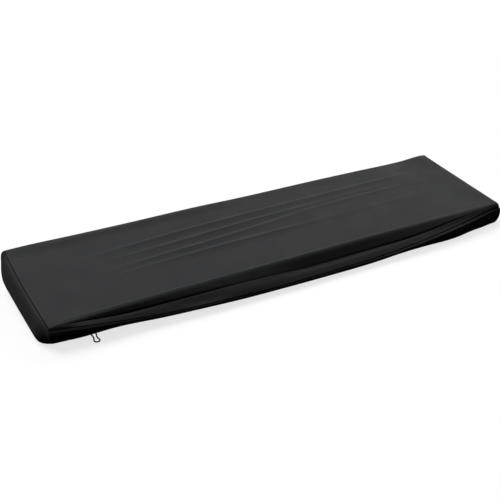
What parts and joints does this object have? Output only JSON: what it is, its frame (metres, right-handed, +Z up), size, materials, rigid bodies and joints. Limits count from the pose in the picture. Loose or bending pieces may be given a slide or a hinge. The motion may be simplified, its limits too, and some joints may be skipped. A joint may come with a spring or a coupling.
{
  "type": "keyboard dust cover",
  "caption": "Fitted dust cover for a long keyboard: flat top panel with a slack front drape, a side band drawn in under the base, and the loop of its drawcord.",
  "frame": {"origin": "middle of the top panel's underside, where the instrument's top carries the cloth", "axes": "+X towards the right-hand end, +Y towards the back, +Z up"},
  "size_m": [1.3757, 0.3914, 0.1001],
  "materials": {
    "top_cloth": "matt black stretch knit with a faint sheen",
    "band_cloth": "matt black stretch knit",
    "black_cord": "matt braided cord"
  },
  "bodies": {
    "root": {"top_panel": "top_cloth", "side_band": "band_cloth", "drawcord": "black_cord"}
  },
  "joints": []
}
